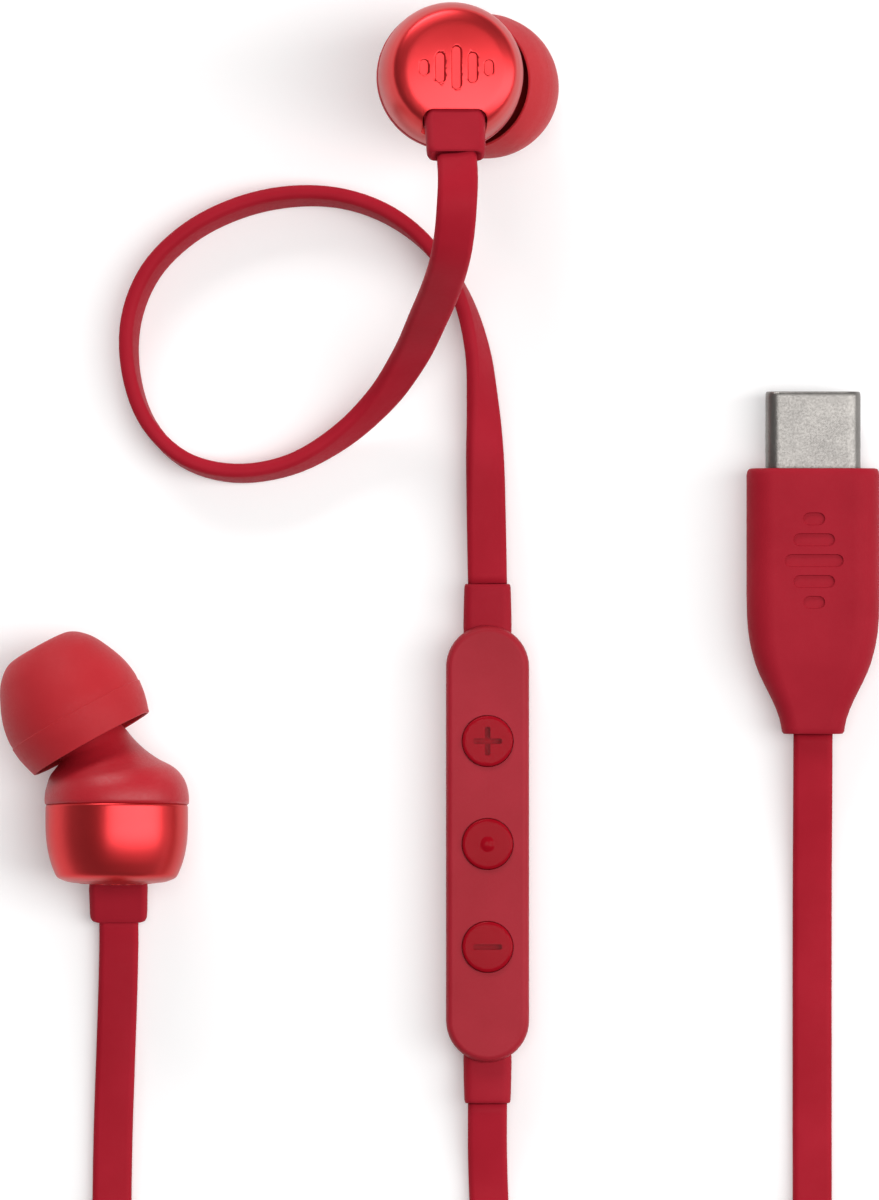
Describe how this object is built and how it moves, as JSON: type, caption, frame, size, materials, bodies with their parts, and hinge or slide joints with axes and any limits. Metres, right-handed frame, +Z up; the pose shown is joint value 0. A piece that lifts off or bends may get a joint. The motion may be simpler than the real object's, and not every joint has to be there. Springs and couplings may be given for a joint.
{
  "type": "wired earphones",
  "caption": "Wired in-ear earphones with flat red cords, silicone tips, an in-line button remote and a USB-C plug.",
  "frame": {"origin": "middle of the remote's flat back, on the table that the object lies on", "axes": "+Z up from the table, +Y along the remote from its minus button towards its plus button, +X towards the plug's side"},
  "size_m": [0.0762, 0.1784, 0.0254],
  "materials": {
    "cap_metal": "satin metallic",
    "shell_satin": "satin",
    "silicone": "soft matte",
    "mesh_steel": "woven",
    "driver_plastic": "matte",
    "magnet": "plated",
    "diaphragm_film": "thin film",
    "copper_wire": "enamelled",
    "rubber_red": "matte",
    "remote_satin": "satin",
    "button_gloss": "gloss",
    "dome_steel": "polished",
    "circuit_board": "solder mask",
    "chip_black": "moulded",
    "usb_steel": "satin",
    "carrier_black": "matte",
    "contact_gold": "plated",
    "inner_mould_plastic": "matte",
    "tie_black": "matte",
    "cord_red": "satin"
  },
  "bodies": {
    "root": {"left_front_cap": "cap_metal", "left_nozzle_shell": "shell_satin", "left_nozzle_mesh": "mesh_steel", "left_driver_frame": "driver_plastic", "left_driver_magnet": "magnet", "left_diaphragm": "diaphragm_film", "left_voice_coil": "copper_wire", "left_strain_relief": "rubber_red", "right_front_cap": "cap_metal", "right_nozzle_shell": "shell_satin", "right_nozzle_mesh": "mesh_steel", "right_driver_frame": "driver_plastic", "right_driver_magnet": "magnet", "right_diaphragm": "diaphragm_film", "right_voice_coil": "copper_wire", "right_strain_relief": "rubber_red", "remote_front_cover": "remote_satin", "remote_back_cover": "remote_satin", "remote_board": "circuit_board", "microphone": "chip_black", "plus_dome": "dome_steel", "multi_dome": "dome_steel", "minus_dome": "dome_steel", "remote_top_relief": "rubber_red", "remote_bottom_relief": "rubber_red", "usb_shell": "usb_steel", "contact_carrier": "carrier_black", "contacts": "contact_gold", "inner_mould": "inner_mould_plastic", "converter_board": "circuit_board", "converter_chip": "chip_black", "plug_grip": "rubber_red", "cord_splitter": "rubber_red", "trunk_cord": "cord_red", "left_cord": "cord_red", "right_upper_cord": "cord_red", "right_lower_cord": "cord_red", "trunk_coil": "cord_red", "left_coil": "cord_red", "right_coil": "cord_red", "coil_tie": "tie_black"},
    "plus_button": {"plus_button": "button_gloss"},
    "multi_button": {"multi_button": "button_gloss"},
    "minus_button": {"minus_button": "button_gloss"},
    "left_ear_tip": {"left_ear_tip": "silicone"},
    "right_ear_tip": {"right_ear_tip": "silicone"}
  },
  "joints": [
    {"name": "plus_press", "type": "slide", "parent": "root", "child": "plus_button", "axis": [0, 0, -1], "range_m": [0, 0.0003], "stiffness_N_per_m": 3000, "deforming": ["plus_dome"]},
    {"name": "multi_press", "type": "slide", "parent": "root", "child": "multi_button", "axis": [0, 0, -1], "range_m": [0, 0.0003], "stiffness_N_per_m": 3000, "deforming": ["multi_dome"]},
    {"name": "minus_press", "type": "slide", "parent": "root", "child": "minus_button", "axis": [0, 0, -1], "range_m": [0, 0.0003], "stiffness_N_per_m": 3000, "deforming": ["minus_dome"]},
    {"name": "left_tip_pull", "type": "slide", "parent": "root", "child": "left_ear_tip", "axis": [-0.4848, 0.8734, -0.0458], "range_m": [0, 0.008]},
    {"name": "right_tip_pull", "type": "slide", "parent": "root", "child": "right_ear_tip", "axis": [0.4227, -0.0458, -0.9051], "range_m": [0, 0.008]}
  ]
}
